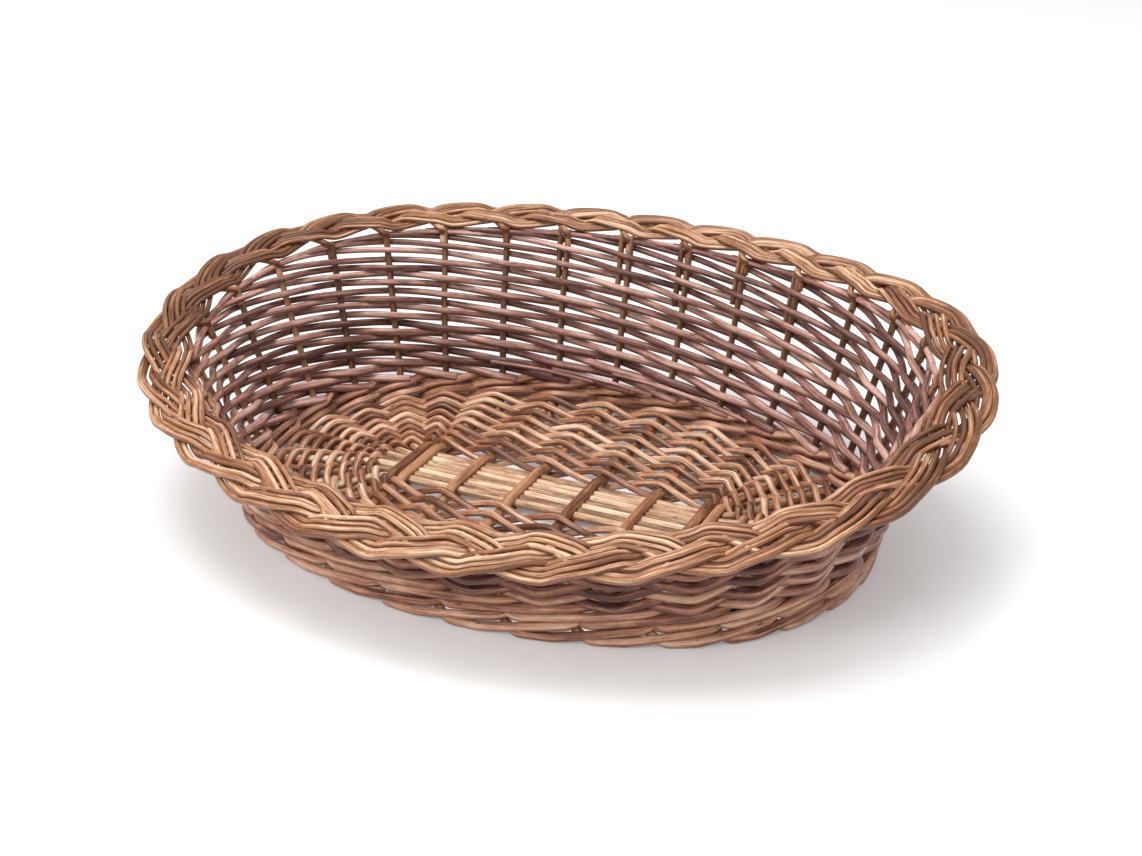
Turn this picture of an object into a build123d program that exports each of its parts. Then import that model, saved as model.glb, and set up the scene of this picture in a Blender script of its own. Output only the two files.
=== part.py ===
"""Oval wicker pet bed basket: stake-and-strand willow work with a low front and a plaited border.

Frame: X along the length, Y from the low front to the high back, Z up, origin on the ground
under the middle of the base. Every upright, hoop and stick is placed from one oval made of
four tangent arcs, so each ring that lies inside or outside another is its exact parallel.
"""
import os
from math import atan, atan2, cos, degrees, hypot, radians, sin, tan

from build123d import *

# ---- driving dimensions, millimetres -------------------------------------------------------
FOOT_A = 229.0              # half length of the oval that the stakes stand on
FOOT_B = 162.5              # half width of that oval
FOOT_R1 = 142.0             # radius of its two end arcs

STICK_D = 6.6               # long base sticks
STICK_PITCH = 7.0
STICK_COUNT = 7
CROSS_D = 8.0               # cross sticks, slit where the long sticks pass through
CROSS_X = (23.0, 69.0, 110.0, 119.0)
SLIT_HALF = 27.5            # half length of the slit

STAKE_D = 5.8
STAKE_BEND = 12.0           # radius where a stake turns up
STAKE_TAIL = 21.5           # length of a stake inside the base
SIDE_SPACING = 46.0         # between stakes along the front and the back
END_SPACING = 38.5          # between stakes round the ends
SIDE_STAKES = 8
END_STAKES = 7

BASE_ROD_D = 5.4            # pairing rods of the base
BASE_ROWS = 8
ROD_D = 6.0                 # weaving rods of the side
SIDE_ROWS = 9
WALE_D = 6.2
WALE_Z = 2.7                # middle of the lowest waling rod
WALE_OUT = ((4.5, 8.9), (5.4, 8.5), (6.9, 7.4), (8.7, 8.6))     # outside the stakes' oval: ends, sides
WALE_SHIFT = (-1.9, -1.2, -0.4, -0.4)
CLEARANCE = 0.4

FLARE = 0.344               # outward lean of the wall, per unit of height, at the ends
FLARE_SHIFT = 0.086         # how much more the front leans, and the back less
ROW_Z = 25.5                # middle of the lowest inner rod
ROW_PITCH = 11.5            # mean height from one row to the next
ROW_TILT = 1.4              # extra pitch at the back, and less at the front

RIM_A = 262.0               # inner edge of the border
RIM_B = 189.0
RIM_R1 = 162.0
BORDER_WIDTH = 48.4
BORDER_STRANDS = 3
BORDER_THICK = 12.0
RIM_FRONT_Z = 83.0          # height of the middle of the border
RIM_END_Z = 129.6
RIM_BACK_Z = 145.4
RIM_SPAN = 212.0            # distance from the long axis where those heights are reached

# ---- derived ------------------------------------------------------------------------------
REST_Z = 0.85 * BASE_ROD_D / 2                                  # rods are worn flat underneath
MID_Z = REST_Z + BASE_ROD_D / 2 + CROSS_D / 2 + 0.1             # middle of the base
UPPER_Z = MID_Z + CROSS_D / 2 + BASE_ROD_D / 2 + 0.1            # upper pairing rods
BEND_Z = MID_Z + STAKE_BEND * (1 - sin(atan(FLARE)))            # where the wall turns straight


class Oval:
    """Four tangent arcs: two end arcs of radius r1 and two side arcs of radius r2."""

    def __init__(self, a, b, r1):
        self.a, self.b, self.r1 = a, b, r1
        self.r2 = (a * a + b * b - 2 * a * r1) / (2 * (b - r1))
        self.end_x = a - r1
        self.side_y = b - self.r2
        self.joint = atan2(self.end_x, -self.side_y)            # from +Y to the tangent point

    def offset(self, distance):
        return Oval(self.a + distance, self.b + distance, self.r1 + distance)

    def quarter_length(self):
        return self.r2 * self.joint + self.r1 * (radians(90) - self.joint)

    def point(self, arc):
        """Place at a given arc length from the middle of the back towards +X, one quarter."""
        side = self.r2 * self.joint
        if arc <= side:
            angle = arc / self.r2
            return (self.r2 * sin(angle), self.side_y + self.r2 * cos(angle)), angle
        angle = self.joint + (arc - side) / self.r1
        return (self.end_x + self.r1 * sin(angle), self.r1 * cos(angle)), angle

    def around(self, arc):
        """Place at a signed arc length from the middle of the back, towards +X if positive."""
        quarter = self.quarter_length()
        reach = min(abs(arc), 2 * quarter - abs(arc))
        (x, y), _ = self.point(reach)
        return (x if arc > 0 else -x), (y if abs(arc) <= quarter else -y)

    def wire(self, half=None):
        """Wire in the XY plane: closed, or open and reaching half that far each way of the back."""
        side = self.r2 * self.joint
        quarter = self.quarter_length()
        half = 2 * quarter if half is None else half
        stops = [s for s in (side, 2 * quarter - side) if s < half]
        if half == 2 * quarter:
            cuts = [-half + side, -side, side, half - side, half + side]
        else:
            cuts = [-half] + [-s for s in reversed(stops)] + stops + [half]
        arcs = []
        for start, end in zip(cuts, cuts[1:]):
            arcs.append(three_point_arc(*[self.around(wrap(start + (end - start) * t, quarter))
                                          for t in (0, 0.5, 1)]))
        return Wire(arcs)


def wrap(arc, quarter):
    """The same place, as an arc length of at most half the way round."""
    return arc - 4 * quarter if arc > 2 * quarter else arc


def three_point_arc(start, middle, end):
    """An arc through three points of the XY plane."""
    return Edge.make_three_point_arc((*start, 0), (*middle, 0), (*end, 0))


FOOT = Oval(FOOT_A, FOOT_B, FOOT_R1)


def hoop(oval, diameter, z, tilt=0.0, shift=0.0, half=None):
    """Round rod along an oval, closed unless half is set; tilt is its rise per unit of y."""
    path = oval.wire(half)
    start = path @ 0
    section = Plane(origin=start, z_dir=path % 0) * Circle(diameter / 2)
    ring = sweep(section, path=path)
    return Pos(0, shift, z) * Rot(degrees(atan(tilt)), 0, 0) * ring


def rod(points, diameter, radii=None):
    """Round rod along straight runs joined by tangent arcs."""
    if len(points) == 2:
        path = Wire([Edge.make_line(points[0], points[1])])
    else:
        path = FilletPolyline(*points, radius=radii).wire()
    section = Plane(origin=path @ 0, z_dir=path % 0) * Circle(diameter / 2)
    return sweep(section, path=path)


def rim_arc(offset_z):
    """Three points of the curve, seen along X, that the border follows."""
    return [(-RIM_SPAN, RIM_FRONT_Z + offset_z), (0, RIM_END_Z + offset_z),
            (RIM_SPAN, RIM_BACK_Z + offset_z)]


def rim_circle():
    """Centre and radius of that curve."""
    (x1, y1), (x2, y2), (x3, y3) = rim_arc(0.0)
    d = 2 * (x1 * (y2 - y3) + x2 * (y3 - y1) + x3 * (y1 - y2))
    s1, s2, s3 = x1 * x1 + y1 * y1, x2 * x2 + y2 * y2, x3 * x3 + y3 * y3
    cy = (s1 * (y2 - y3) + s2 * (y3 - y1) + s3 * (y1 - y2)) / d
    cz = (s1 * (x3 - x2) + s2 * (x1 - x3) + s3 * (x2 - x1)) / d
    return cy, cz, hypot(x1 - cy, y1 - cz)


RIM_CY, RIM_CZ, RIM_R = rim_circle()


def rim_z(y):
    """Height of the middle of the border above a point y."""
    return RIM_CZ + (RIM_R * RIM_R - (y - RIM_CY) ** 2) ** 0.5


def under_rim(drop):
    """Solid below the border, its top a cylinder parallel to the rim curve."""
    ball = Pos(0, RIM_CY, RIM_CZ) * Rot(0, 90, 0) * Cylinder(RIM_R - drop, 800)
    return ball & Pos(0, 0, 100) * Box(800, 700, 240)


def band(outer, inner, height):
    """Upright tube between two parallel ovals."""
    solid = extrude(Face(outer.wire()), amount=height, dir=(0, 0, 1))
    return solid - extrude(Face(inner.wire()), amount=height, dir=(0, 0, 1))


# ---- base ---------------------------------------------------------------------------------
def stake_stations():
    """Foot point and outward normal of all thirty stakes, counterclockwise from +X."""
    quarter = FOOT.quarter_length()
    side = [SIDE_SPACING * (i + 0.5) for i in range(SIDE_STAKES // 2)]
    end = [quarter - END_SPACING * i for i in range(END_STAKES // 2 + 1)]
    stations = []
    for arc in side + end[1:]:
        (x, y), angle = FOOT.point(arc)
        for sx, sy in ((1, 1), (-1, 1), (-1, -1), (1, -1)):
            stations.append((sx * x, sy * y, sx * sin(angle), sy * cos(angle)))
    stations += [(FOOT_A, 0, 1, 0), (-FOOT_A, 0, -1, 0)]
    return sorted(stations, key=lambda s: atan2(s[1], s[0]) % radians(360))


STATIONS = stake_stations()


def long_stick(index):
    """One of the seven long sticks, straight in the middle and fanned out at both ends."""
    row = index - STICK_COUNT // 2
    y = row * STICK_PITCH
    if row == 0:
        reach = FOOT_A - STAKE_TAIL - 3
        return rod([(-reach, 0, MID_Z), (reach, 0, MID_Z)], STICK_D)
    (ex, ey), angle = FOOT.point(FOOT.quarter_length() - END_SPACING * abs(row))
    inset = STAKE_TAIL + 3
    ex, ey = ex - inset * sin(angle), (ey - inset * cos(angle)) * (1 if row > 0 else -1)
    bend = 127 + 10 * (3 - abs(row))
    points = [(-ex, ey, MID_Z), (-bend, y, MID_Z), (bend, y, MID_Z), (ex, ey, MID_Z)]
    return rod(points, STICK_D, [20, 20])


def cross_stick(x):
    """A cross stick, slit in the middle so that it passes over and under the long sticks."""
    side = 1 if x > 0 else -1
    arc = SIDE_SPACING * (CROSS_X.index(abs(x)) + 0.5)
    (tx, ty), angle = FOOT.point(arc)
    inset = STAKE_TAIL + 3
    tx, ty = tx - inset * sin(angle), ty - inset * cos(angle)
    if abs(x) < CROSS_X[-1]:
        stick = rod([(x, -ty, MID_Z), (x, ty, MID_Z)], CROSS_D)
    else:
        tip, knee = side * tx, 42
        points = [(tip, -ty, MID_Z), (x, -knee, MID_Z), (x, knee, MID_Z), (tip, ty, MID_Z)]
        stick = rod(points, CROSS_D, [30, 30])
    slit = STICK_D + 0.2
    stick -= Pos(x, 0, MID_Z) * Box(2 * CROSS_D, 2 * SLIT_HALF, 2 * CROSS_D)
    half = Pos(x, 0, MID_Z) * Rot(90, 0, 0) * Cylinder(CROSS_D / 2, 2 * SLIT_HALF + 7)
    upper = Pos(0, 0, slit / 2) * (half & Pos(x, 0, MID_Z + CROSS_D) * Box(20, 200, 2 * CROSS_D))
    lower = Pos(0, 0, -slit / 2) * (half & Pos(x, 0, MID_Z - CROSS_D) * Box(20, 200, 2 * CROSS_D))
    ends = [Pos(x, s * (SLIT_HALF + 1.75), MID_Z) * Box(4, 3.5, slit + 2) for s in (-1, 1)]
    return stick + upper + lower + ends[0] + ends[1]


def base_row(index):
    """One pairing row: the rod over the sticks and the rod under them, worn flat below."""
    t = index / (BASE_ROWS - 1)
    edge = FOOT.offset(-14)
    oval = Oval(145 + (edge.a - 145) * t, 39.5 + (edge.b - 39.5) * t, 38 + (edge.r1 - 38) * t)
    upper = hoop(oval, BASE_ROD_D, UPPER_Z)
    lower = hoop(oval, BASE_ROD_D, REST_Z) & Pos(0, 0, 20) * Box(800, 600, 40)
    return [upper, lower]


# ---- side ---------------------------------------------------------------------------------
def stake(station):
    """A stake: a tail in the base, a tight bend and a straight leaning upright."""
    x, y, nx, ny = station
    lean = FLARE - FLARE_SHIFT * ny
    corner = (MID_Z - BEND_Z) * lean
    height = rim_z(y) - BORDER_THICK / 2 - 0.6
    for _ in range(6):
        top = (height - BEND_Z) * lean
        height = rim_z(y + ny * top) - BORDER_THICK / 2 - 0.6 - STAKE_D / 2 * lean
    top = (height - BEND_Z) * lean

    def at(distance, z):
        return (x + nx * distance, y + ny * distance, z)

    points = [at(-STAKE_TAIL, MID_Z), at(corner, MID_Z), at(top, height)]
    return rod(points, STAKE_D, [STAKE_BEND])


def wale_hoop(index):
    """One of four waling rods stacked upright outside the bend, the lowest worn flat below."""
    out_a, out_b = WALE_OUT[index]
    oval = Oval(FOOT_A + out_a, FOOT_B + out_b, FOOT_R1 + out_a)
    z = WALE_Z + index * (WALE_D + 0.2)
    ring = hoop(oval, WALE_D, z, shift=WALE_SHIFT[index])
    return ring & Pos(0, 0, 30) * Box(900, 700, 60)


def side_row(index):
    """One row of the side: a rod inside the stakes and one outside, one rod higher."""
    rods = []
    for side, rise in ((-1, 0.0), (1, ROD_D)):
        z = ROW_Z + ROW_PITCH * index + rise
        tilt = ROW_TILT * index
        gap = (STAKE_D / 2 + ROD_D / 2 + CLEARANCE + 0.08 * index) / cos(atan(FLARE))
        oval = FOOT.offset(FLARE * (z - BEND_Z) + side * gap)
        shift = FLARE * tilt - FLARE_SHIFT * (z - BEND_Z)
        slope = 0.8 * tilt / FOOT_B
        rods.append(hoop(oval, ROD_D, z, slope, shift, reach_under_rim(oval, z, slope, shift)))
    return rods


def reach_under_rim(oval, z, slope, shift):
    """How far round from the back a row stays under the border, or None if all the way."""
    whole = 2 * oval.quarter_length()
    for step in range(201):
        arc = whole * step / 200
        _, y = oval.around(arc)
        if z + slope * y + ROD_D / 2 + CLEARANCE > rim_z(y + shift) - BORDER_THICK / 2:
            return whole * (step - 1) / 200
    return None


# ---- border -------------------------------------------------------------------------------
def border_strand(index):
    """One of three flat strands, side by side on top of the wall, following the low front."""
    width = (BORDER_WIDTH - 0.2 * (BORDER_STRANDS - 1)) / BORDER_STRANDS
    inner = Oval(RIM_A, RIM_B, RIM_R1).offset(index * (width + 0.2))
    ring = band(inner.offset(width), inner, 220)
    ring = ring & under_rim(-BORDER_THICK / 2)
    return ring - under_rim(BORDER_THICK / 2)


def save(name, solids):
    """Write one node as a STEP file of separate solids."""
    parts = solids if isinstance(solids, list) else [solids]
    flat = [s for part in parts for s in part.solids()]
    export_step(flat[0] if len(flat) == 1 else Compound(children=flat), f"parts/{name}.step")


def main():
    os.makedirs("parts", exist_ok=True)
    for i in range(STICK_COUNT):
        save(f"long_stick_{i + 1}", long_stick(i))
    crosses = [-x for x in reversed(CROSS_X)] + list(CROSS_X)
    for i, x in enumerate(crosses):
        save(f"cross_stick_{i + 1}", cross_stick(x))
    for i in range(BASE_ROWS):
        save(f"base_row_{i + 1:02d}", base_row(i))
    back = [s for s in STATIONS if s[1] > 0 and s[3] > 0.8]
    front = [s for s in STATIONS if s[1] < 0 and s[3] < -0.8]
    right = [s for s in STATIONS if s[0] > 0 and abs(s[3]) <= 0.8]
    left = [s for s in STATIONS if s[0] < 0 and abs(s[3]) <= 0.8]
    for name, group in (("back", back), ("front", front), ("right", right), ("left", left)):
        save(f"stakes_{name}", [stake(s) for s in group])
    save("foot_wale_lower", [wale_hoop(0), wale_hoop(1)])
    save("foot_wale_upper", [wale_hoop(2), wale_hoop(3)])
    for i in range(SIDE_ROWS):
        save(f"side_row_{i + 1}", side_row(i))
    for i, name in enumerate(("inner", "middle", "outer")):
        save(f"border_strand_{name}", border_strand(i))


if __name__ == "__main__":
    main()
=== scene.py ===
"""Wicker pet bed basket: every willow rod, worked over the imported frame.

The basket is stake-and-strand work. Thirty stakes stand on an oval base of long and cross
sticks bound by pairing, the foot is waled, the side is French randed, and the stakes are laid
down into a flat plait that makes the border. The front of the rim dips.

Places round the basket are given in stakes: s runs counterclockwise from the +X end, stake
number n stands at s = n, the middle of the back is s = 7.5 and the middle of the front 22.5.
"""
from __future__ import annotations

import logging
import math
from dataclasses import dataclass, field
from enum import Enum
from typing import Any, Mapping

import bpy
import numpy as np
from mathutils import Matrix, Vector

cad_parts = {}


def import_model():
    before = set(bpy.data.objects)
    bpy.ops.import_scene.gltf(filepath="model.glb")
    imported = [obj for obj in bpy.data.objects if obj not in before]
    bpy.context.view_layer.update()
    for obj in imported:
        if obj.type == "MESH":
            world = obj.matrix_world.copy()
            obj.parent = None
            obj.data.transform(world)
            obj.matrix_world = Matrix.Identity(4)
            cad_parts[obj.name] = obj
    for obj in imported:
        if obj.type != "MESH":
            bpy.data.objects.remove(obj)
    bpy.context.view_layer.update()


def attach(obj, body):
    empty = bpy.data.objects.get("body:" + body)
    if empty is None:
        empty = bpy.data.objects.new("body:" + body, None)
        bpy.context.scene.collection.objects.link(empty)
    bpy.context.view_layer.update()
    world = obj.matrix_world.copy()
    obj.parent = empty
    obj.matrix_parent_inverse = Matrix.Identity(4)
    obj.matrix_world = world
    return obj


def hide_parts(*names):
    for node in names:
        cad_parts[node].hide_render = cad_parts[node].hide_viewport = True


LOG = logging.getLogger("wicker_basket")
MM = 0.001
GRAIN_UNIT = 2.8  # length along a rod that the grain attribute counts as one, in mm
UP = np.array([0.0, 0.0, 1.0])
Array = np.ndarray
Colour = tuple[float, float, float]


def link(made: bpy.types.Object) -> None:
    """Put an object in the scene."""
    bpy.context.scene.collection.objects.link(made)


# ---- the form of the basket -----------------------------------------------------------------
@dataclass(frozen=True)
class Oval:
    """Four tangent arcs about two axes, in mm: end arcs of radius r1, side arcs of r2."""

    a: float
    b: float
    r1: float

    @property
    def r2(self) -> float:
        """Radius of the side arcs, from the tangency of the four arcs."""
        return (self.a**2 + self.b**2 - 2 * self.a * self.r1) / (2 * (self.b - self.r1))

    @property
    def joint(self) -> float:
        """Angle from the short axis to the point where a side arc meets an end arc."""
        return math.atan2(self.a - self.r1, self.r2 - self.b)

    @property
    def quarter(self) -> float:
        """Length of a quarter of the oval."""
        return self.r2 * self.joint + self.r1 * (math.pi / 2 - self.joint)

    def offset(self, distance: float) -> Oval:
        """The parallel oval that far outside this one."""
        return Oval(self.a + distance, self.b + distance, self.r1 + distance)

    def at(self, arc: Array) -> tuple[Array, Array]:
        """Points and outward normals at arc lengths counterclockwise from the +X end.

        Args:
            arc: arc lengths in mm; they wrap round the oval.

        Returns:
            Points and unit normals, each with a last axis of x and y. Both come from one
            quarter of the oval, folded over by the signs of x and y.
        """
        quarter, arc = self.quarter, np.asarray(arc, float)
        turn = np.mod(arc, 4 * quarter)
        sx = np.where((turn < quarter) | (turn >= 3 * quarter), 1.0, -1.0)
        sy = np.where(turn < 2 * quarter, 1.0, -1.0)
        from_end = quarter - np.abs(np.mod(turn, 2 * quarter) - quarter)
        on_end = from_end < self.r1 * (math.pi / 2 - self.joint)
        phi = np.where(on_end, from_end / self.r1,
                       math.pi / 2 - (quarter - from_end) / self.r2)
        radius = np.where(on_end, self.r1, self.r2)
        x = np.where(on_end, self.a - self.r1, 0.0) + radius * np.cos(phi)
        y = np.where(on_end, 0.0, self.b - self.r2) + radius * np.sin(phi)
        points = np.stack([sx * x, sy * y], -1)
        normals = np.stack([sx * np.cos(phi), sy * np.sin(phi)], -1)
        return points, normals

    def locate(self, x: Array, y: Array) -> tuple[Array, Array]:
        """Arc length of the nearest place on the oval, and the distance outside it.

        Args:
            x: x of the points, in mm.
            y: y of the points, in mm.

        Returns:
            Arc lengths counterclockwise from the +X end, and signed distances.
        """
        ax, ay = np.abs(x), np.abs(y)
        cx, cy = self.a - self.r1, self.b - self.r2
        phi_side = np.arctan2(ay - cy, ax)
        on_end = phi_side < math.pi / 2 - self.joint
        phi = np.where(on_end, np.arctan2(ay, np.maximum(ax - cx, 1e-9)), phi_side)
        away = np.where(on_end, np.hypot(ax - cx, ay) - self.r1,
                        np.hypot(ax, ay - cy) - self.r2)
        arc = np.where(on_end, phi * self.r1, self.quarter - (math.pi / 2 - phi) * self.r2)
        arc = np.where(x < 0, 2 * self.quarter - arc, arc)
        return np.where(y < 0, 4 * self.quarter - arc, arc), away


@dataclass(frozen=True)
class BasketForm:
    """The shape that all the rods follow, in mm."""

    foot: Oval = Oval(229.0, 162.5, 142.0)
    rim: Oval = Oval(262.0, 189.0, 162.0)
    stakes: int = 30
    side_spacing: float = 46.0
    end_spacing: float = 38.5
    mid_z: float = 9.095
    bend: float = 12.0
    flare: float = 0.344
    flare_shift: float = 0.086
    rim_heights: tuple[float, float, float] = (83.0, 129.6, 145.4)
    rim_span: float = 212.0

    @property
    def bend_z(self) -> float:
        """Height where the line of the wall passes over the foot oval."""
        return self.mid_z + self.bend * (1 - math.sin(math.atan(self.flare)))

    def foot_arc(self, s: Array) -> Array:
        """Arc length on the foot oval of a place s: linear between the stakes."""
        quarter = self.foot.quarter
        side = [self.side_spacing * (i + 0.5) for i in range(4)]
        first = [self.end_spacing * i for i in range(4)]
        first += [quarter - d for d in reversed(side)]
        second = [2 * quarter - v for v in reversed(first[1:])]
        half = first + second
        table = np.array(half + [2 * quarter + v for v in half] + [4 * quarter])
        turns = np.floor(np.asarray(s, float) / self.stakes)
        rest = np.asarray(s, float) - turns * self.stakes
        return np.interp(rest, np.arange(len(table)), table) + turns * 4 * quarter

    def rim_z(self, y: Array) -> Array:
        """Height of the middle of the border above y: an arc through front, end and back."""
        (z1, z2, z3), span = self.rim_heights, self.rim_span
        slope, sag = (z3 - z1) / (2 * span), (z1 + z3 - 2 * z2) / (2 * span * span)
        radius = (1 + slope * slope) ** 1.5 / max(-2 * sag, 1e-9)
        cy = slope * radius / math.hypot(1, slope)
        root = math.sqrt(radius * radius - cy * cy)
        return z2 - root + np.sqrt(radius * radius - (np.asarray(y, float) - cy) ** 2)

    def wall(self, s: Array, run: Array, proud: Array) -> Array:
        """Points on or beside the wall.

        Args:
            s: place round the basket, in stakes.
            run: distance up the middle line of a stake from where its bend begins.
            proud: distance outside that line.

        Returns:
            Points in mm. The line is level for run < 0, an arc of the bend radius while it
            turns by the complement of the wall's lean, and straight after that.
        """
        s, run, proud = np.broadcast_arrays(*(np.asarray(v, float) for v in (s, run, proud)))
        point, normal = self.foot.at(self.foot_arc(s))
        lean = self.flare - self.flare_shift * normal[..., 1]
        phi = np.arctan(lean)
        beta = math.pi / 2 - phi
        start = (self.mid_z - self.bend_z) * lean - self.bend * np.tan(beta / 2)
        theta = np.clip(run / self.bend, 0.0, beta)
        extra = np.maximum(run - self.bend * beta, 0.0)
        out = start + np.minimum(run, 0.0) + self.bend * np.sin(theta) + extra * np.sin(phi)
        z = self.mid_z + self.bend * (1 - np.cos(theta)) + extra * np.cos(phi)
        out, z = out + proud * np.sin(theta), z - proud * np.cos(theta)
        return np.concatenate([point + normal * out[..., None], z[..., None]], -1)

    def run_at(self, s: Array, z: Array) -> Array:
        """Distance up a stake of a height z on the straight part of the wall."""
        _, normal = self.foot.at(self.foot_arc(s))
        phi = np.arctan(self.flare - self.flare_shift * normal[..., 1])
        beta = math.pi / 2 - phi
        top = self.mid_z + self.bend * (1 - np.cos(beta))
        return self.bend * beta + (np.asarray(z, float) - top) / np.cos(phi)

    def wall_top(self, s: Array) -> Array:
        """Height of the border's middle where the wall reaches it, found by repeating."""
        s = np.asarray(s, float)
        z = np.full(s.shape, self.rim_heights[1])
        for _ in range(8):
            z = self.rim_z(self.wall(s, self.run_at(s, z), np.zeros_like(z))[..., 1])
        return z

    def border(self, s: Array, across: Array, rise: Array) -> Array:
        """Points in the border.

        Args:
            s: place round the basket, in stakes.
            across: distance from the border's inner edge, outwards.
            rise: distance above its middle surface.

        Returns:
            Points in mm. Place s is carried from the wall's top to the nearest place of the
            border's inner oval, and the height is that of the rim above the point's y.
        """
        s, across, rise = np.broadcast_arrays(
            *(np.asarray(v, float) for v in (s, across, rise)))
        knots = np.arange(self.stakes + 1.0)
        tops = self.wall(knots, self.run_at(knots, self.wall_top(knots)), 0.0)
        arcs, _ = self.rim.locate(tops[:, 0], tops[:, 1])
        arcs[-1] = 4 * self.rim.quarter
        arcs[0] = 0.0
        turns = np.floor(s / self.stakes)
        arc = np.interp(s - turns * self.stakes, knots, arcs) + turns * 4 * self.rim.quarter
        point, normal = self.rim.at(arc)
        point = point + normal * across[..., None]
        z = self.rim_z(point[..., 1]) + rise
        return np.concatenate([point, z[..., None]], -1)


# ---- rods -----------------------------------------------------------------------------------
def smooth_noise(rng: np.random.Generator, rows: int, at: Array, pitch: float) -> Array:
    """Smooth random curves, one for each row.

    Args:
        rng: source of the random values.
        rows: how many curves.
        at: where to read them, shaped (rows, n) or (n,).
        pitch: distance between independent values.

    Returns:
        Values of about unit size, shaped (rows, n): random heights at even steps, joined by
        half cosines.
    """
    at = np.broadcast_to(at, (rows, np.shape(at)[-1]))
    cell = (at - at.min()) / pitch
    knots = rng.normal(size=(rows, int(cell.max()) + 3))
    low = np.floor(cell).astype(int)
    mix = 0.5 - 0.5 * np.cos(math.pi * (cell - low))
    first = np.take_along_axis(knots, low, 1)
    second = np.take_along_axis(knots, low + 1, 1)
    return first + (second - first) * mix


def zigzag(phase: Array, straight: float) -> Array:
    """A cosine drawn with straighter sides: arcsin(k cos phase) over arcsin(k)."""
    return np.arcsin(straight * np.cos(phase)) / math.asin(straight)


def smooth_step(value: Array) -> Array:
    """0 below 0, 1 above 1, and a smooth cubic between."""
    value = np.clip(value, 0.0, 1.0)
    return value * value * (3 - 2 * value)


def quad_corners(near: Array, far: Array) -> Array:
    """Values at the corners of quads, from those on one side of them and on the other."""
    return np.stack([near[:, :-1], far[:, :-1], far[:, 1:], near[:, 1:]], -1)


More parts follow.
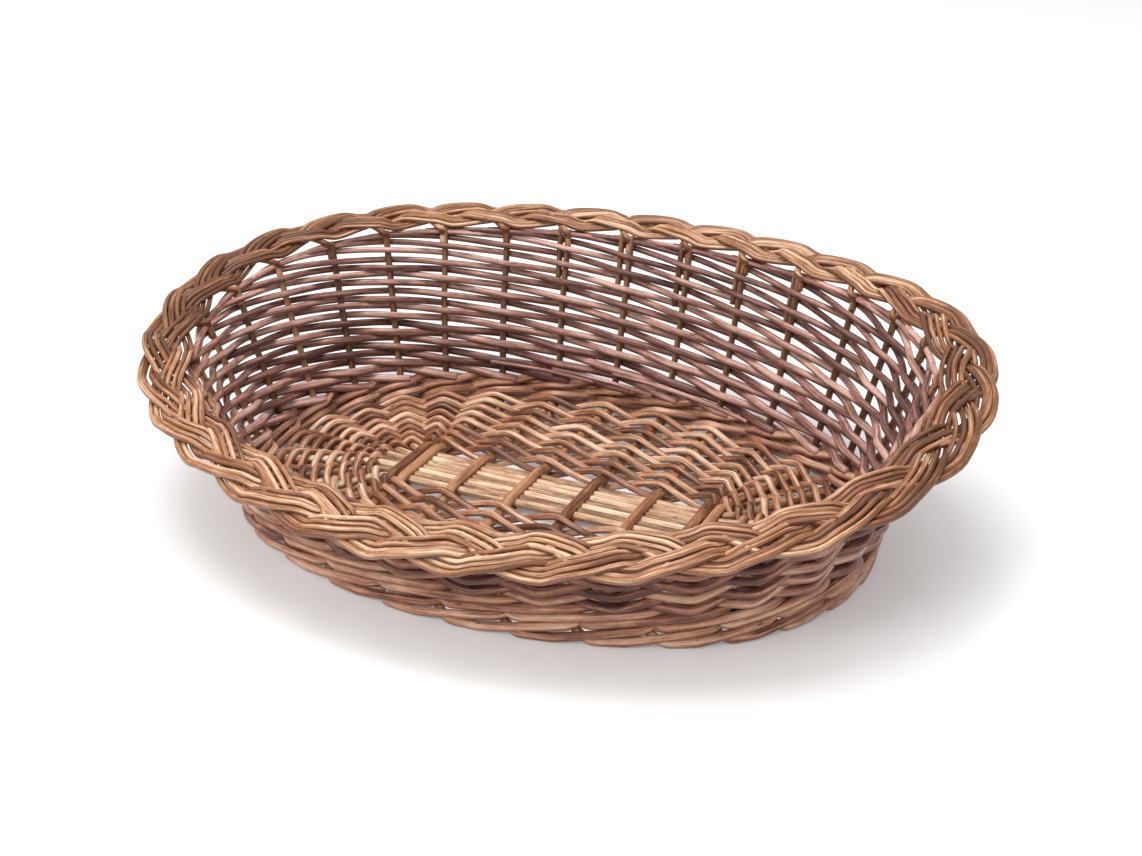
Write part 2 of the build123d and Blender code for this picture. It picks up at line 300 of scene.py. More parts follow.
@dataclass
class RodBundle:
    """Rods gathered into one mesh, each a closed tube with cut ends, narrowed a little."""

    name: str
    sides: int = 12
    seed: int = 1
    cut_length: float = 0.22
    cut_radius: float = 0.76
    batches: list[dict[str, Array]] = field(default_factory=list)

    def add(self, paths: Array, radii: Array, up: Array, profile: Array | None = None) -> None:
        """Carry a section along paths.

        Args:
            paths: middle lines in mm, shaped (rods, n, 3).
            radii: radius at each point, shaped to fit (rods, n).
            up: direction kept at the top of the section, shaped to fit (rods, n, 3).
            profile: section of unit radius, shaped (k, 2); a circle if not given.
        """
        paths = np.asarray(paths, float)
        rods, count, _ = paths.shape
        radii = np.broadcast_to(radii, (rods, count)).copy()
        up = np.broadcast_to(up, paths.shape)
        tangent = np.gradient(paths, axis=1)
        tangent /= np.linalg.norm(tangent, axis=-1, keepdims=True)
        first = paths[:, :1] - tangent[:, :1] * radii[:, :1, None] * self.cut_length
        last = paths[:, -1:] + tangent[:, -1:] * radii[:, -1:, None] * self.cut_length
        paths = np.concatenate([first, paths, last], 1)
        tangent = np.concatenate([tangent[:, :1], tangent, tangent[:, -1:]], 1)
        up = np.concatenate([up[:, :1], up, up[:, -1:]], 1)
        radii = np.concatenate([radii[:, :1] * self.cut_radius, radii,
                                radii[:, -1:] * self.cut_radius], 1)
        side = np.cross(tangent, up)
        side /= np.maximum(np.linalg.norm(side, axis=-1, keepdims=True), 1e-9)
        top = np.cross(side, tangent)
        if profile is None:
            angle = np.arange(self.sides) * 2 * math.pi / self.sides
            profile = np.stack([np.cos(angle), np.sin(angle)], -1)
        rings = (paths[:, :, None] + radii[:, :, None, None]
                 * (side[:, :, None] * profile[None, None, :, :1]
                    + top[:, :, None] * profile[None, None, :, 1:]))
        steps = np.linalg.norm(np.diff(paths, axis=1), axis=-1)
        along = np.concatenate([np.zeros((rods, 1)), np.cumsum(steps, 1)], 1)
        self.batches.append({"rings": rings, "ends": paths[:, [0, -1]], "along": along,
                             "profile": profile})

    def build(self) -> bpy.types.Object:
        """Make the mesh.

        Returns:
            The object. Quads join each ring to the next and fans close both ends. The UV map
            is (length in metres, turn); attribute grain is (section x, section y, length in
            grain units plus a shift for each rod), so it has no seam; attribute tone is one
            random number for each rod.
        """
        rng = np.random.default_rng(self.seed)
        verts, grain, tone, loops, starts, totals, uvs = [], [], [], [], [], [], []
        base, corner = 0, 0
        for batch in self.batches:
            rings, along = batch["rings"], batch["along"]
            rods, count, sides, _ = rings.shape
            verts += [rings.reshape(-1, 3), batch["ends"].reshape(-1, 3)]
            shift = rng.uniform(0, 400, rods)
            shade = rng.uniform(0, 1, rods)
            ring_grain = np.empty((rods, count, sides, 3))
            ring_grain[..., :2] = batch["profile"]
            ring_grain[..., 2] = along[:, :, None] / GRAIN_UNIT + shift[:, None, None]
            end_grain = np.zeros((rods, 2, 3))
            end_grain[..., 2] = along[:, [0, -1]] / GRAIN_UNIT + shift[:, None]
            grain += [ring_grain.reshape(-1, 3), end_grain.reshape(-1, 3)]
            tone += [np.repeat(shade, count * sides), np.repeat(shade, 2)]
            index = base + np.arange(rods * count * sides).reshape(rods, count, sides)
            around = np.roll(index, -1, 2)
            quads = quad_corners(index, around)
            tips = base + rods * count * sides + np.arange(rods * 2).reshape(rods, 2)
            tips = np.broadcast_to(tips[:, :, None], (rods, 2, sides))
            fan0 = np.stack([around[:, 0], index[:, 0], tips[:, 0]], -1)
            fan1 = np.stack([index[:, -1], around[:, -1], tips[:, 1]], -1)
            u = np.broadcast_to(along[:, :, None] * MM, index.shape)
            v = np.broadcast_to(np.arange(sides) / sides, index.shape)
            quad_uv = np.stack([quad_corners(u, u), quad_corners(v, v + 1 / sides)], -1)
            fans = np.concatenate([fan0.reshape(-1, 3), fan1.reshape(-1, 3)])
            fan_uv = np.zeros((len(fans), 3, 2))
            loops += [quads.reshape(-1), fans.reshape(-1)]
            uvs += [quad_uv.reshape(-1, 2), fan_uv.reshape(-1, 2)]
            n_quads = quads.size // 4
            starts += [corner + 4 * np.arange(n_quads),
                       corner + 4 * n_quads + 3 * np.arange(len(fans))]
            totals += [np.full(n_quads, 4), np.full(len(fans), 3)]
            corner += 4 * n_quads + 3 * len(fans)
            base += rods * count * sides + rods * 2
        mesh = bpy.data.meshes.new(self.name)
        points = np.concatenate(verts) * MM
        mesh.vertices.add(len(points))
        mesh.vertices.foreach_set("co", points.ravel())
        corners = np.concatenate(loops)
        mesh.loops.add(len(corners))
        mesh.loops.foreach_set("vertex_index", corners)
        starts = np.concatenate(starts)
        mesh.polygons.add(len(starts))
        mesh.polygons.foreach_set("loop_start", starts)
        mesh.polygons.foreach_set("loop_total", np.concatenate(totals))
        mesh.polygons.foreach_set("use_smooth", np.ones(len(starts), bool))
        layer = mesh.uv_layers.new(name="rod")
        layer.data.foreach_set("uv", np.concatenate(uvs).ravel())
        mesh.attributes.new("grain", "FLOAT_VECTOR", "POINT").data.foreach_set(
            "vector", np.concatenate(grain).ravel())
        mesh.attributes.new("tone", "FLOAT", "POINT").data.foreach_set(
            "value", np.concatenate(tone))
        mesh.update(calc_edges=True)
        mesh.validate()
        piece = bpy.data.objects.new(self.name, mesh)
        link(piece)
        return piece


# ---- finishes -------------------------------------------------------------------------------
class Socket:
    """A shader value that takes part in Python arithmetic."""

    def __init__(self, tree: ShaderTree, link: bpy.types.NodeSocket) -> None:
        """Hold a node's output and the tree that it belongs to."""
        self.tree = tree
        self.link = link

    def _math(self, operation: str, first: Any, second: Any) -> Socket:
        """A Math node on two values."""
        return self.tree.node("ShaderNodeMath", {"operation": operation}, {0: first, 1: second})

    def __add__(self, other: Any) -> Socket:
        """self + other."""
        return self._math("ADD", self, other)

    def __radd__(self, other: Any) -> Socket:
        """other + self."""
        return self._math("ADD", other, self)

    def __sub__(self, other: Any) -> Socket:
        """self - other."""
        return self._math("SUBTRACT", self, other)

    def __rsub__(self, other: Any) -> Socket:
        """other - self."""
        return self._math("SUBTRACT", other, self)

    def __mul__(self, other: Any) -> Socket:
        """self * other."""
        return self._math("MULTIPLY", self, other)

    def __rmul__(self, other: Any) -> Socket:
        """other * self."""
        return self._math("MULTIPLY", other, self)


class ShaderTree:
    """Builds one material's nodes."""

    def __init__(self, name: str) -> None:
        """Start an empty material of that name."""
        self.material = bpy.data.materials.new(name)
        self.material.use_nodes = True
        self.tree = self.material.node_tree
        self.tree.nodes.clear()

    def node(self, kind: str, settings: Mapping[str, Any] | None = None,
             inputs: Mapping[Any, Any] | None = None, output: Any = 0) -> Socket:
        """Add a node.

        Args:
            kind: the node's type name.
            settings: its properties, set first; stops is a list of (place, colour) for a ramp.
            inputs: values or sockets by input name or number.
            output: which output to return.

        Returns:
            The chosen output.
        """
        made = self.tree.nodes.new(kind)
        for key, value in (settings or {}).items():
            if key == "stops":
                ramp = made.color_ramp.elements
                while len(ramp) < len(value):
                    ramp.new(0.5)
                for element, (place, colour) in zip(ramp, value):
                    element.position = place
                    element.color = (*colour, 1.0)
            else:
                setattr(made, key, value)
        for key, value in (inputs or {}).items():
            socket = made.inputs[key]
            if isinstance(value, Socket):
                self.tree.links.new(value.link, socket)
            elif isinstance(value, tuple) and len(value) == 3 and socket.type == "RGBA":
                socket.default_value = (*value, 1.0)
            else:
                socket.default_value = value
        return Socket(self, made.outputs[output]) if len(made.outputs) else Socket(self, None)

    def mix(self, factor: Any, first: Any, second: Any) -> Socket:
        """Blend two colours."""
        settings = {"data_type": "RGBA", "clamp_factor": True}
        return self.node("ShaderNodeMix", settings, {0: factor, 6: first, 7: second}, output=2)

    def scaled(self, vector: Socket, by: tuple[float, float, float]) -> Socket:
        """A vector with each part multiplied."""
        return self.node("ShaderNodeVectorMath", {"operation": "MULTIPLY"}, {0: vector, 1: by})

    def noise(self, vector: Socket, scale: float, detail: float = 3.0,
              roughness: float = 0.55) -> Socket:
        """Soft noise from 0 to 1."""
        return self.node("ShaderNodeTexNoise", {"noise_dimensions": "3D"},
                         {"Vector": vector, "Scale": scale, "Detail": detail,
                          "Roughness": roughness})

    def spread(self, value: Any, low: float, high: float) -> Socket:
        """A value brought from low..high to 0..1, with soft ends."""
        return self.node("ShaderNodeMapRange", {"interpolation_type": "SMOOTHSTEP"},
                         {"Value": value, "From Min": low, "From Max": high})


class Part(Enum):
    """Where a rod is used; each part has its own willow."""

    BUNDLE = "base_sticks"
    CROSS = "cross_sticks"
    FLOOR = "base_rods"
    STAKE = "stakes"
    WALE = "wale_rods"
    SIDE = "side_rods"
    BORDER = "border_rods"


@dataclass(frozen=True)
class Layer:
    """A layer of noise: the grain is multiplied by stretch before the noise is read."""

    stretch: tuple[float, float, float]
    scale: float
    detail: float
    roughness: float = 0.6
    weight: float = 1.0


@dataclass(frozen=True)
class WillowFinish:
    """Willow: long streaks, slow changes along the rod, tone from rod to rod, small scars."""

    part: Part
    dark: Colour
    middle: Colour
    light: Colour
    scar: Colour = (0.035, 0.016, 0.009)
    pith: Colour = (0.78, 0.60, 0.42)
    roughness: float = 0.42
    coat: float = 0.18
    coat_roughness: float = 0.25
    sheen: float = 0.38
    tone_spread: float = 0.5
    stops: tuple[float, float, float] = (0.18, 0.50, 0.86)
    streaks: Layer = Layer((1.0, 1.0, 0.035), 2.6, 4.0, weight=1.45)
    patches: Layer = Layer((0.25, 0.25, 0.045), 1.0, 2.0, 0.5)
    bark: Layer = Layer((0.6, 0.6, 0.25), 1.3, 5.0, 0.65, 0.6)
    fibres: Layer = Layer((1.0, 1.0, 0.02), 9.0, 2.0)
    specks: Layer = Layer((1.0, 1.0, 0.4), 2.2, 3.0, 0.55)
    scar_cells: tuple[float, float, float] = (0.5, 0.5, 0.10)
    bump_height: float = 0.0006
    # section heights over which the painted shade on each rod's underside fades out
    painted_shade_band: tuple[float, float] = (-0.75, 0.4)
    # middle and pale colours of a painted colour cast, blended in towards the front
    front: Colour | None = None
    painted_cast_pale: Colour = (0.80, 0.49, 0.32)
    # painted shade towards the ends of the basket, and painted light towards the front
    painted_end_shade: float = 0.0
    painted_front_light: float = 0.0

    def material(self) -> bpy.types.Material:
        """Build the material.

        Returns:
            A material whose colour runs dark, middle, light by streaks plus slow patches plus
            the rod's tone, then by its place: darker towards the ends of the basket, which is
            painted shade, lighter towards the front, which is painted light, and browner
            towards the front, which is a painted colour cast. Fibres, scars and specks lie over
            that, cut ends show the pith and undersides are darkened with painted shade.
            Roughness and bump follow the streaks.
        """
        tree = ShaderTree(f"willow_{self.part.value}")
        grain = tree.node("ShaderNodeAttribute", {"attribute_name": "grain"}, output=1)
        tone = tree.node("ShaderNodeAttribute", {"attribute_name": "tone"}, output=2)
        streak, patch, fibre, bark, speck = (
            tree.noise(tree.scaled(grain, layer.stretch), layer.scale, layer.detail,
                       layer.roughness)
            for layer in (self.streaks, self.patches, self.fibres, self.bark, self.specks))
        level = ((streak - 0.5) * self.streaks.weight + (patch - 0.5) * self.patches.weight
                 + (bark - 0.5) * self.bark.weight + (tone - 0.5) * self.tone_spread + 0.5)
        place = tree.node("ShaderNodeTexCoord", {}, output="Object")
        across, depth = (tree.node("ShaderNodeSeparateXYZ", {}, {"Vector": place}, output=k)
                         for k in (0, 1))
        # painted shade towards the ends and painted light at the front, by place in the object
        level = (level - self.painted_end_shade * tree.spread(across * across, 0.02, 0.08)
                 + self.painted_front_light * tree.spread(depth, 0.02, -0.16))
        colour = self._ramp(tree, level, self.middle, self.light)
        # painted colour cast: a browner copy of the colours takes over towards the front
        if self.front:
            painted_cast_colour = self._ramp(tree, level, self.front, self.painted_cast_pale)
            colour = tree.mix(tree.spread(depth, -0.02, -0.14), colour, painted_cast_colour)
        colour = tree.mix(tree.spread(fibre, 0.55, 0.72) * 0.5, colour, self.dark)
        cells = tree.node("ShaderNodeTexVoronoi", {"feature": "F1"},
                          {"Vector": tree.scaled(grain, self.scar_cells), "Scale": 0.9})
        scar = 1 - tree.spread(cells, 0.04, 0.11)
        colour = tree.mix(scar * 0.85, colour, self.scar)
        colour = tree.mix(tree.spread(speck, 0.69, 0.76) * 0.5, colour, self.scar)
        section = [tree.node("ShaderNodeSeparateXYZ", {}, {"Vector": grain}, output=k)
                   for k in (0, 1)]
        pith = 1 - tree.spread(section[0] * section[0] + section[1] * section[1], 0.35, 0.8)
        colour = tree.mix(pith * 0.8, colour, self.pith)
        # painted shade: each rod's underside is darkened as if in the shade of its neighbours
        painted_underside_shade = 1 - tree.spread(section[1], *self.painted_shade_band)
        colour = tree.mix(painted_underside_shade * (1 - pith) * 0.8, colour, self.dark)
        height = streak * 0.6 + fibre * 0.35 + bark * 0.4 - scar * 0.6
        bump = tree.node("ShaderNodeBump", {}, {
            "Strength": 0.5, "Distance": self.bump_height, "Height": height})
        rough = self.roughness + (streak - 0.5) * 0.25 + scar * 0.2
        shader = tree.node("ShaderNodeBsdfPrincipled", {}, {
            "Base Color": colour, "Roughness": rough, "Normal": bump,
            "Coat Weight": self.coat, "Coat Roughness": self.coat_roughness,
            "Specular IOR Level": self.sheen})
        tree.node("ShaderNodeOutputMaterial", {}, {"Surface": shader})
        return tree.material

    def _ramp(self, tree: ShaderTree, level: Socket, middle: Colour, light: Colour) -> Socket:
        """The colour of a level, from this willow's dark through two colours."""
        stops = list(zip(self.stops, (self.dark, middle, light)))
        return tree.node("ShaderNodeValToRGB", {"stops": stops}, {"Fac": level})


# In these willows the darkening towards the ends is painted shade, the lightening at the front
# of the border painted light, the browner front of the side a painted colour cast, and the dark
# undersides painted shade.
FINISHES: dict[Part, WillowFinish] = {f.part: f for f in (
    WillowFinish(Part.BUNDLE, (0.22, 0.10, 0.045), (0.68, 0.41, 0.235), (0.95, 0.76, 0.54),
                 painted_shade_band=(-0.2, 0.65)),
    WillowFinish(Part.CROSS, (0.09, 0.034, 0.015), (0.30, 0.118, 0.05), (0.58, 0.30, 0.15)),
    WillowFinish(Part.FLOOR, (0.11, 0.038, 0.016), (0.49, 0.20, 0.093), (0.95, 0.67, 0.45),
                 roughness=0.36, coat=0.4, painted_end_shade=0.12),
    WillowFinish(Part.STAKE, (0.09, 0.036, 0.015), (0.33, 0.145, 0.062), (0.56, 0.30, 0.15)),
    WillowFinish(Part.WALE, (0.11, 0.041, 0.023), (0.48, 0.205, 0.118), (0.84, 0.51, 0.34),
                 painted_end_shade=0.06),
    # side rods: mauve at the back and browner at the front, a painted colour cast of the light
    WillowFinish(Part.SIDE, (0.10, 0.037, 0.028), (0.34, 0.152, 0.116), (0.78, 0.48, 0.385),
                 front=(0.48, 0.20, 0.118), painted_end_shade=0.05),
    WillowFinish(Part.BORDER, (0.13, 0.047, 0.018), (0.42, 0.172, 0.071), (0.93, 0.62, 0.39),
                 painted_shade_band=(-0.1, 0.85), tone_spread=0.35, painted_end_shade=0.26, painted_front_light=0.06),
)}


def dress(piece: bpy.types.Object, part: Part, *nodes: str) -> None:
    """Give a piece its willow, put it on the body and let it stand for its CAD nodes.

    Args:
        piece: the finished piece.
        part: which willow it is made of.
        nodes: the CAD nodes that it stands for.
    """
    piece.data.materials.append(FINISHES[part].material())
    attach(piece, "root")
    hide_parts(*nodes)
    LOG.info("%s: %d faces", piece.name, len(piece.data.polygons))


# ---- base -----------------------------------------------------------------------------------
@dataclass
class StickBase:
    """The long sticks, fanned at both ends, and the slit cross sticks over them."""

    form: BasketForm
    stick_r: float = 3.3
    cross_r: float = 4.0
    pitch: float = 7.0
    cross_x: tuple[float, ...] = (23.0, 69.0, 110.0, 119.0)
    slit_half: float = 27.5
    closing: tuple[float, float] = (9.0, 13.0)
    knee: float = 42.0
    bundle_half: float = 60.0
    fan_start: float = 127.0
    fan_step: float = 10.0
    softening: float = 14.0

    def spoke(self, number: int) -> Array:
        """Middle line in plan of base stick end number n, from the bundle to the foot.

        Args:
            number: stake number, counterclockwise from the +X end.

        Returns:
            Points in mm, shaped (n, 2): a run along the bundle or the slit, then a straight
            run to the foot of the stake.
        """
        point, _ = self.form.foot.at(self.form.foot_arc(np.array(float(number))))
        n = (number + 3) % 15
        if n < 7:
            row = n - 3
            side = 1 if number < 4 or number > 26 else -1
            bend = self.fan_start + self.fan_step * (3 - abs(row))
            y = row * self.pitch * side
            knots = np.array([[side * self.bundle_half, y], [side * bend, y], point])
        else:
            x = math.copysign(self.cross_x[int(abs(n - 10.5))], point[0])
            y = math.copysign(1.0, point[1])
            knots = np.array([[x, 0.0], [x, y * self.knee], point])
        return knots

    def build(self) -> None:
        """Make both sets of sticks."""
        long = RodBundle("long_sticks", 14, seed=11)
        rng = np.random.default_rng(5)
        for row in range(-3, 4):
            right = self.spoke(row % 30)
            left = self.spoke((15 - row) % 30)
            plan = np.concatenate([left[::-1], right])
            path = rounded(plan, 160, self.softening)[3:-3]
            z = np.full(len(path), self.form.mid_z)
            line = np.column_stack([path, z])[None]
            long.add(line, self.stick_r * rng.uniform(0.93, 1.0), UP)
        dress(long.build(), Part.BUNDLE, *[f"long_stick_{i + 1}" for i in range(7)])
        cross = RodBundle("cross_sticks", 14, seed=12)
        angle = np.linspace(0, math.pi, 9)
        half = np.stack([np.cos(angle), np.sin(angle)], -1)
        for number in range(4, 12):
            back = self.spoke(number)
            front = back * np.array([1.0, -1.0])
            plan = np.concatenate([front[::-1], back[1:]])
            path = rounded(plan, 160, self.softening)[4:-4]
            inside = np.clip((self.slit_half + self.closing[0] - np.abs(path[:, 1]))
                             / self.closing[1], 0, 1)
            lift = (0.5 - 0.5 * np.cos(math.pi * inside)) * (self.stick_r + 0.1)
            for sign in (1.0, -1.0):
                z = self.form.mid_z + sign * lift
                line = np.column_stack([path, z])[None]
                cross.add(line, self.cross_r, sign * UP, half)
        dress(cross.build(), Part.CROSS, *[f"cross_stick_{i + 1}" for i in range(8)])


def rounded(plan: Array, count: int, radius: float) -> Array:
    """An open line through corners, resampled evenly and softened.

    Args:
        plan: corners, shaped (n, 2).
        count: how many points to return.
        radius: reach of the softening, in mm.

    Returns:
        Points shaped (count, 2): the line sampled by length, then averaged with a window of
        the given reach that shrinks towards the ends.
    """
    steps = np.linalg.norm(np.diff(plan, axis=0), axis=1)
    length = np.concatenate([[0.0], np.cumsum(steps)])
    at = np.linspace(0, length[-1], count)
    window = np.linspace(-1, 1, 9)
    reach = np.minimum(radius, np.minimum(at, length[-1] - at))
    spots = at[:, None] + reach[:, None] * window
    return np.stack([np.interp(spots, length, plan[:, k]).mean(1) for k in (0, 1)], -1)


@dataclass
class PairedFloor:
    """Pairing over the base: in each row two rods twist round each other between the sticks."""

    form: BasketForm
    sticks: StickBase
    rows: int = 8
    rod_r: float = 2.6
    steps: int = 14
    first: Oval = Oval(145.0, 39.5, 38.0)
    margin: float = 14.0

    def row_oval(self, row: int) -> Oval:
        """The line that a row follows, from the bundle out to the foot."""
        t, first = row / (self.rows - 1), self.first
        edge = self.form.foot.offset(-self.margin)
        return Oval(first.a + (edge.a - first.a) * t, first.b + (edge.b - first.b) * t,
                    first.r1 + (edge.r1 - first.r1) * t)

    def crossings(self, oval: Oval) -> Array:
        """Arc length at which a row crosses each base stick, in order."""
        arcs = []
        for number in range(self.form.stakes):
            knots = self.sticks.spoke(number)
            steps = np.linalg.norm(np.diff(knots, axis=0), axis=1)
            length = np.concatenate([[0], np.cumsum(steps)])
            at = np.linspace(0, length[-1], 400)
            line = np.stack([np.interp(at, length, knots[:, k]) for k in (0, 1)], -1)
            arc, away = oval.locate(line[:, 0], line[:, 1])
            first = int(np.argmax(away > 0))
            arcs.append(arc[first])
        arcs = np.array(arcs)
        arcs[0] = 0.0
        return arcs

    def build(self) -> None:
        """Make every row.

        Each rod circles the row's line by half a turn from stick to stick, and its ends meet
        under a stick.
        """
        floor = RodBundle("paired_floor", 9, seed=21)
        rng = np.random.default_rng(22)
        knots = np.arange(self.form.stakes + 2.0)
        for row in range(self.rows):
            oval = self.row_oval(row)
            arcs = self.crossings(oval)
            whole = 4 * oval.quarter
            arcs = np.append(arcs, [whole, whole + arcs[1]])
            count = self.form.stakes * self.steps
            u = np.linspace(0.02, self.form.stakes - 0.02, count) + np.array([[1.0], [0.0]])
            arc = np.mod(np.interp(u, knots, arcs), whole)
            point, normal = oval.at(arc)
            phase = math.pi * (u + np.array([[0.0], [1.0]]))
            on_side = np.abs(normal[..., 1]) > 0.8
            over = np.where(on_side, self.sticks.cross_r, self.sticks.stick_r) + self.rod_r
            z = self.form.mid_z + over * zigzag(phase, 0.97)
            swing = self.rod_r * 1.1 * np.sin(phase) + 0.5 * smooth_noise(rng, 2, u, 1.0)
            path = np.concatenate([point + normal * swing[..., None], z[..., None]], -1)
            radius = self.rod_r * (1 + 0.05 * smooth_noise(rng, 2, u, 6.0))
            floor.add(path, radius, UP)
        dress(floor.build(), Part.FLOOR, *[f"base_row_{i + 1:02d}" for i in range(self.rows)])


# ---- side -----------------------------------------------------------------------------------
@dataclass
class Stakes:
    """The thirty uprights, bent up at the edge of the base, and short ones beside five."""

    form: BasketForm
    radius: float = 2.85
    taper: float = 0.1
    tail: float = 21.5
    doubled: tuple[int, ...] = (5, 6, 7, 8, 9)
    doubled_length: tuple[float, float] = (36.0, 50.0)
    doubled_share: float = 0.86

    def build(self) -> None:
        """Make the stakes along the middle line of the wall, their sections kept level."""
        bundle = RodBundle("stakes", 12, seed=31)
        rng = np.random.default_rng(32)
        number = np.arange(self.form.stakes)[:, None] + np.zeros((1, 40))
        top = self.form.run_at(number, self.form.wall_top(number)) - 4
        share = np.linspace(0, 1, 40)[None] ** 1.3
        run = -self.tail + (top + self.tail) * share
        lean = 0.03 * smooth_noise(rng, self.form.stakes, run, 80.0) * share
        path = self.form.wall(number + lean, run, 0.0)
        radius = self.radius * (1 - self.taper * share)
        radius = radius * rng.uniform(0.94, 1.04, (self.form.stakes, 1))
        bundle.add(path, radius, np.cross(UP, path))
        extra = np.array(self.doubled, float)[:, None] + 0.125 + np.zeros((1, 16))
        top = self.form.run_at(extra, self.form.wall_top(extra)) - 3
        length = rng.uniform(*self.doubled_length, (len(self.doubled), 1))
        path = self.form.wall(extra, top - length * np.linspace(1, 0, 16)[None], 0.6)
        bundle.add(path, self.radius * self.doubled_share, np.cross(UP, path))
        dress(bundle.build(), Part.STAKE, "stakes_back", "stakes_front", "stakes_left",
              "stakes_right")


@dataclass
class FootWale:
    """Two rounds of three rod waling, upright outside the bend of the stakes."""

    form: BasketForm
    rod_r: float = 3.1
    levels: tuple[float, ...] = (3.1, 9.2, 15.5, 21.8)
    out_ends: tuple[float, ...] = (4.5, 5.4, 6.9, 8.7)
    out_sides: tuple[float, ...] = (8.9, 8.5, 7.4, 8.6)
    front_shift: tuple[float, ...] = (1.9, 1.2, 0.4, 0.4)
    inside: tuple[tuple[float, float], ...] = ((-8.0, 16.6), (-4.2, 22.6))
    turn_in: float = 0.72
    climbs: tuple[tuple[tuple[float, float], ...], ...] = (
        ((0.0, 0.0), (1.12, 0.0), (2.0, 6.2), (2.45, 9.0)),
        ((0.5, -3.1), (2.45, 9.0)))

    def build(self) -> None:
        """Make the rods.

        Each rod passes outside two stakes, climbing by one level from the first to the second,
        and drops back while it passes inside the third, where its ends meet.
        """
        wale = RodBundle("foot_wale", 12, seed=41)
        rng = np.random.default_rng(42)
        for turn, (in_out, in_z) in enumerate(self.inside):
            low, climb = self.levels[2 * turn], np.array(self.climbs[turn]).T
            for first in range(3):
                s = first + np.linspace(0.03, self.form.stakes - 0.03, 540)[None]
                point, normal = self.form.foot.at(self.form.foot_arc(s))
                share = normal[..., 1] ** 2
                front = np.maximum(-normal[..., 1], 0)
                t = np.mod(s - first, 3.0)
                z = low + np.interp(t, *climb)
                inner = smooth_step(1 - np.minimum(t, 3 - t) / self.turn_in)
                ends = np.interp(z, self.levels, self.out_ends)
                sides = np.interp(z, self.levels, self.out_sides)
                shift = np.interp(z, self.levels, self.front_shift)
                out = ends + (sides - ends) * share + shift * front
                out = out + (in_out - out) * inner
                z = z + (in_z - z) * inner + 0.25 * smooth_noise(rng, 1, s, 1.3)
                path = np.concatenate([point + normal * out[..., None],
                                       np.maximum(z, self.rod_r)[..., None]], -1)
                wale.add(path, self.rod_r * rng.uniform(0.94, 1.03), UP)
        dress(wale.build(), Part.WALE, "foot_wale_lower", "foot_wale_upper")


@dataclass
class RandedSide:
    """French randing: one rod for each stake, in and out of the stakes, rising all the way."""

    form: BasketForm
    butt_r: float = 3.3
    tip_r: float = 2.3
    stake_r: float = 2.8
    first_z: float = 25.5
    level: float = 5.75
    level_tilt: float = 0.56 / 162.5
    under_border: float = 6.3
    tucked: float = 1.4
    longest: float = 24.0
    taper_over: float = 19.0
    flattening: float = 9.0
    points: int = 252
    loose_at: tuple[float, ...] = (5.3, 6.1, 7.2, 8.3)
    loose_span: float = 1.9
    loose_r: tuple[float, float] = (1.9, 1.4)
    loose_z: tuple[float, float] = (35.0, 27.5)
    loose_gap: float = 5.5
    loose_away: float = 9.0

    def height(self, s: Array, m: Array) -> Array:
        """Height of level m at s: even steps, a little larger at the back."""
        _, normal = self.form.foot.at(self.form.foot_arc(s))
        y = 178.0 * normal[..., 1]
        return self.first_z + m * (self.level + self.level_tilt * y)

    def build(self) -> None:
        """Make the rods.

        Rod j starts at stake j, rises one level for each stake until it meets the border, and
        runs on a little way below it. It is inside the even stakes of its way and outside the
        odd ones, and nearly straight between them.
        """
        side = RodBundle("randed_side", 12, seed=51)
        rng = np.random.default_rng(52)
        stakes = self.form.stakes
        number = np.arange(stakes)[:, None].astype(float)
        probe = np.linspace(0, self.longest, 1200)[None]
        limit = self.form.wall_top(number + probe) - self.under_border
        over = self.height(number + probe, probe) > limit
        last = probe[0, np.argmax(over, 1)][:, None] + self.tucked
        start = -0.22 + 0.06 * rng.normal(size=(stakes, 1))
        share = np.linspace(0, 1, self.points)[None]
        m = start + (last - start) * share
        s = number + m
        radius = self.butt_r + (self.tip_r - self.butt_r) * m / self.taper_over
        radius = radius * rng.uniform(0.93, 1.05, (stakes, 1))
        z = self.height(s, m) + 0.6 * smooth_noise(rng, stakes, m, 1.3)
        room = self.form.wall_top(s) - self.under_border - z
        z = z + 0.5 * (room - np.sqrt(room * room + 6.0))
        weave = -zigzag(math.pi * m, 0.97)
        proud = (self.stake_r + radius) * weave
        close = smooth_step(1 - np.maximum(room, 0.0) / self.flattening)
        proud = np.where(proud < 0, proud * (1 - close) + 0.8 * close, proud)
        path = self.form.wall(s, self.form.run_at(s, z), proud)
        side.add(path, radius, UP)
        self.loose_ends(side)
        dress(side.build(), Part.SIDE, *[f"side_row_{i + 1}" for i in range(9)])

    def loose_ends(self, side: RodBundle) -> None:
        """Add rod ends that lie inside the foot of the back.

        Each runs down and a little away from the wall, by the square of its share of length.

        Args:
            side: the bundle that they join.
        """
        first = np.array(self.loose_at)[:, None]
        share = np.linspace(0, 1, 40)[None] + np.zeros_like(first)
        s = first + self.loose_span * (1 - share)
        z = self.loose_z[0] + (self.loose_z[1] - self.loose_z[0]) * share
        z = z + 1.5 * np.cos(3.0 * first)
        away = self.loose_away * (0.6 + 0.4 * np.sin(7.0 * first))
        proud = -(self.stake_r + self.loose_gap) - away * share ** 2
        path = self.form.wall(s, self.form.run_at(s, z), proud)
        radius = self.loose_r[0] + (self.loose_r[1] - self.loose_r[0]) * share
        side.add(path, radius, UP)


